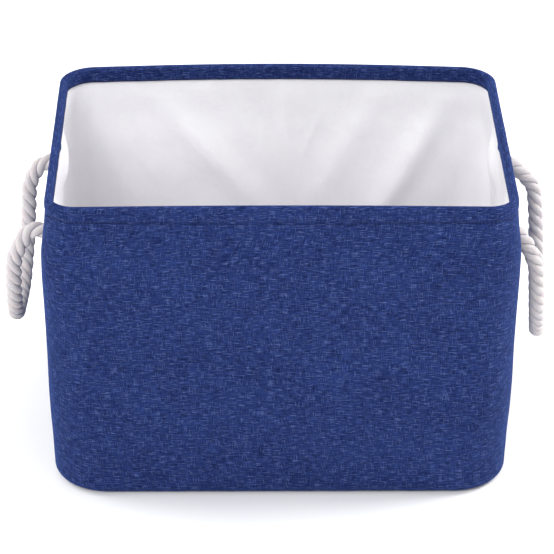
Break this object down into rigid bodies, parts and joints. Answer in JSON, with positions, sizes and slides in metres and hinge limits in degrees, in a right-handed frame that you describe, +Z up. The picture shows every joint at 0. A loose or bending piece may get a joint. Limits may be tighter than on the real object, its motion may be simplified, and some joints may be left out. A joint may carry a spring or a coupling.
{
  "type": "fabric storage bin",
  "caption": "Soft-sided rectangular fabric storage bin with a wire-stiffened hemmed rim, a coated light liner and swinging rope loop handles on the short sides.",
  "frame": {"origin": "centre of the base, on the surface the bin stands on", "axes": "+Z up, +X to the right of someone facing the front panel, +Y from the front panel to the back panel"},
  "size_m": [0.4877, 0.3134, 0.283],
  "materials": {
    "linen_blue": "matt slubbed plain weave",
    "liner_white": "coated, slight gloss, creased",
    "spring_steel": "bright drawn wire",
    "ferrule_steel": "crimped tube",
    "thread_blue": "sewing thread",
    "cotton_rope": "natural off-white cotton, twisted strands",
    "backing_canvas": "plain canvas"
  },
  "bodies": {
    "bin_body": {"shell_front": "linen_blue", "shell_back": "linen_blue", "shell_base": "linen_blue", "liner_front": "liner_white", "liner_back": "liner_white", "liner_base": "liner_white", "rim_wire": "spring_steel", "rim_wire_ferrule": "ferrule_steel", "hem_stitching": "thread_blue", "left_rope_end_front": "cotton_rope", "left_rope_end_rear": "cotton_rope", "right_rope_end_front": "cotton_rope", "right_rope_end_rear": "cotton_rope", "left_handle_backing": "backing_canvas", "right_handle_backing": "backing_canvas", "left_hole_stitching_front": "thread_blue", "left_hole_stitching_rear": "thread_blue", "right_hole_stitching_front": "thread_blue", "right_hole_stitching_rear": "thread_blue"},
    "left_handle": {"left_handle_loop": "cotton_rope"},
    "right_handle": {"right_handle_loop": "cotton_rope"}
  },
  "joints": [
    {"name": "left_handle_swing", "type": "hinge", "parent": "bin_body", "child": "left_handle", "pos_m": [-0.2201, 0, 0.2205], "axis": [0, 1, 0], "range_deg": [0, 150]},
    {"name": "right_handle_swing", "type": "hinge", "parent": "bin_body", "child": "right_handle", "pos_m": [0.2201, 0, 0.2205], "axis": [0, -1, 0], "range_deg": [0, 150]}
  ]
}
